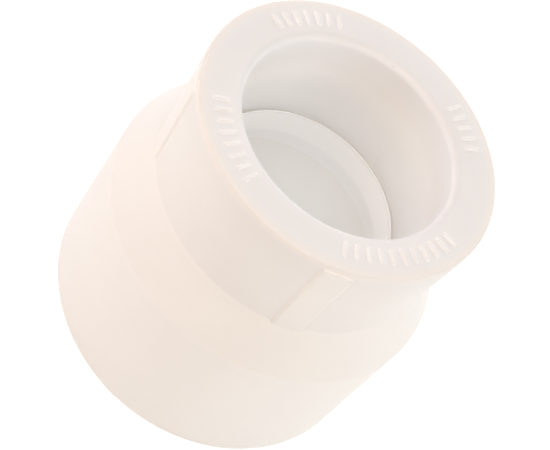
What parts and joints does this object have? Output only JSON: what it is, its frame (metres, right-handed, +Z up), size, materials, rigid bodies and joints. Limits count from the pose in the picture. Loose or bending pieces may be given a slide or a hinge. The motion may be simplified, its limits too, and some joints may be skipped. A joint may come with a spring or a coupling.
{
  "type": "pipe reducing coupling",
  "caption": "Short hollow plastic pipe reducer: a fusion socket for a smaller pipe, a cone, and a plain spigot for a larger socket.",
  "frame": {"origin": "centre of the spigot's end face, where the common axis of spigot and socket leaves it", "axes": "+Z up the common axis, out of the mouth of the smaller socket; the raised alignment pads lie on +X, +Y, -X and -Y"},
  "size_m": [0.063, 0.063, 0.0585],
  "materials": {
    "polypropylene": "satin"
  },
  "bodies": {
    "root": {"spigot_rim": "polypropylene", "spigot": "polypropylene", "reducing_cone": "polypropylene", "stop_ring": "polypropylene", "socket_barrel": "polypropylene", "socket_rim": "polypropylene", "pad_front": "polypropylene", "pad_right": "polypropylene", "pad_back": "polypropylene", "pad_left": "polypropylene", "marks_front": "polypropylene", "marks_right": "polypropylene", "marks_back": "polypropylene", "marks_left": "polypropylene"}
  },
  "joints": []
}
